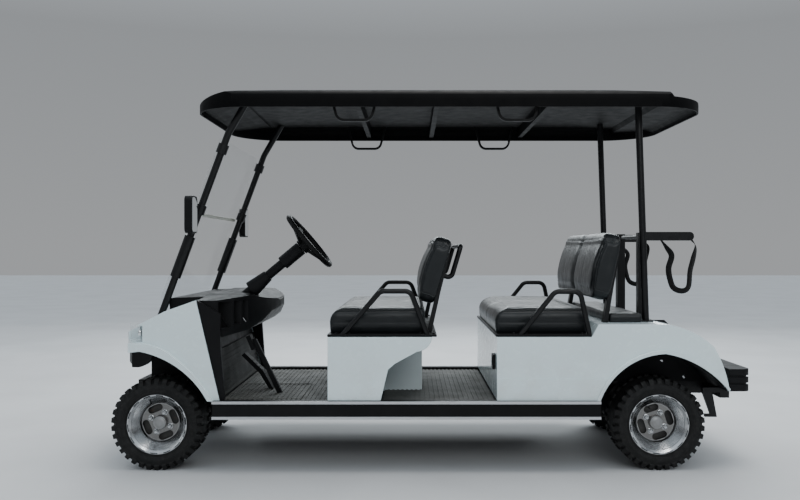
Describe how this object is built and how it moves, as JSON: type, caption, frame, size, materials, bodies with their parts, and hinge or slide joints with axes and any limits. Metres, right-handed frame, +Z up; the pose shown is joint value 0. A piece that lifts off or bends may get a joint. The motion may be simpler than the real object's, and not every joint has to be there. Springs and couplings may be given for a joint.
{
  "type": "golf cart",
  "caption": "Four-seat electric golf cart with a long roof, two bench seats, a clear windshield, steered front wheels and a rear bag rack.",
  "frame": {"origin": "on the ground, at the middle of the cart's overall box", "axes": "+X to the rear, the cart faces -X; +Y to its right side; +Z up"},
  "size_m": [3.158, 1.324, 1.8398],
  "materials": {
    "white_body": "gloss paint",
    "black_metal": "satin black powder coat",
    "black_plastic": "moulded, lightly grained",
    "roof_plastic": "satin moulded",
    "grey_panel": "satin moulded",
    "vinyl": "dark grey-green marine vinyl",
    "mat_rubber": "ribbed matte",
    "tyre_rubber": "matte with tread",
    "alloy": "machined bright",
    "trim": "brushed",
    "axle_steel": "painted, dusty",
    "spring_steel": "dull",
    "clear": "clear acrylic",
    "lamp_clear": "clear lens",
    "lamp_red": "red lens",
    "webbing": "woven webbing",
    "battery_case": "plain case"
  },
  "bodies": {
    "chassis": {"front_axle": "axle_steel", "rear_axle": "axle_steel", "chassis_frame": "black_metal", "leaf_springs": "spring_steel", "floor_pan": "black_plastic", "floor_mats": "mat_rubber", "rockers": "black_plastic", "sill_trim": "trim", "front_cowl": "white_body", "headlights": "lamp_clear", "front_bumper": "black_plastic", "dash": "black_plastic", "pedals": "black_metal", "steering_column": "black_plastic", "seat_pod": "white_body", "seat_pod_box": "grey_panel", "front_cushion": "vinyl", "rear_cushion": "vinyl", "front_backrest": "vinyl", "rear_backrest": "vinyl", "seat_bases": "black_plastic", "seat_back_frames": "black_metal", "armrests": "black_metal", "handrail": "black_metal", "rear_body": "white_body", "wheel_liners": "black_plastic", "bag_well": "black_plastic", "deck_pad": "vinyl", "rear_bumper": "black_plastic", "taillights": "lamp_red", "charge_socket": "black_plastic", "battery_pack": "battery_case", "roof": "roof_plastic", "front_struts": "black_metal", "windshield": "clear", "rear_struts": "black_metal", "bag_rack": "black_metal", "bag_straps": "webbing", "roof_handles": "black_plastic", "mirrors": "black_plastic"},
    "wheel_front_left": {"tyre_front_left": "tyre_rubber", "rim_front_left": "alloy"},
    "wheel_front_right": {"tyre_front_right": "tyre_rubber", "rim_front_right": "alloy"},
    "wheel_rear_left": {"tyre_rear_left": "tyre_rubber", "rim_rear_left": "alloy"},
    "wheel_rear_right": {"tyre_rear_right": "tyre_rubber", "rim_rear_right": "alloy"},
    "knuckle_left": {"knuckle_left": "axle_steel"},
    "knuckle_right": {"knuckle_right": "axle_steel"},
    "tie_rod": {"tie_rod": "axle_steel"},
    "steering_wheel": {"steering_wheel": "black_plastic"}
  },
  "joints": [
    {"name": "front_left_spin", "type": "hinge", "parent": "knuckle_left", "child": "wheel_front_left", "pos_m": [-1.305, -0.437, 0.222], "axis": [0, 1, 0], "continuous": true},
    {"name": "front_right_spin", "type": "hinge", "parent": "knuckle_right", "child": "wheel_front_right", "pos_m": [-1.305, 0.437, 0.222], "axis": [0, 1, 0], "continuous": true},
    {"name": "rear_left_spin", "type": "hinge", "parent": "chassis", "child": "wheel_rear_left", "pos_m": [1.13, -0.437, 0.222], "axis": [0, 1, 0], "continuous": true},
    {"name": "rear_right_spin", "type": "hinge", "parent": "chassis", "child": "wheel_rear_right", "pos_m": [1.13, 0.437, 0.222], "axis": [0, 1, 0], "continuous": true},
    {"name": "steer_left", "type": "hinge", "parent": "chassis", "child": "knuckle_left", "pos_m": [-1.305, -0.375, 0.222], "axis": [0, 0, 1], "range_deg": [-28, 28]},
    {"name": "steer_right", "type": "hinge", "parent": "chassis", "child": "knuckle_right", "pos_m": [-1.305, 0.375, 0.222], "axis": [0, 0, 1], "range_deg": [-28, 28]},
    {"name": "tie_rod_swing", "type": "hinge", "parent": "knuckle_left", "child": "tie_rod", "pos_m": [-1.225, -0.375, 0.202], "axis": [0, 0, 1], "range_deg": [-28, 28]},
    {"name": "steering_wheel_turn", "type": "hinge", "parent": "chassis", "child": "steering_wheel", "pos_m": [-0.599, -0.255, 1.115], "axis": [0.766, 0, 0.6428], "range_deg": [-392, 392]}
  ],
  "couplings": [
    {"joint": "steer_right", "follows": "steer_left", "ratio": 1},
    {"joint": "tie_rod_swing", "follows": "steer_left", "ratio": -1},
    {"joint": "steering_wheel_turn", "follows": "steer_left", "ratio": 14}
  ]
}
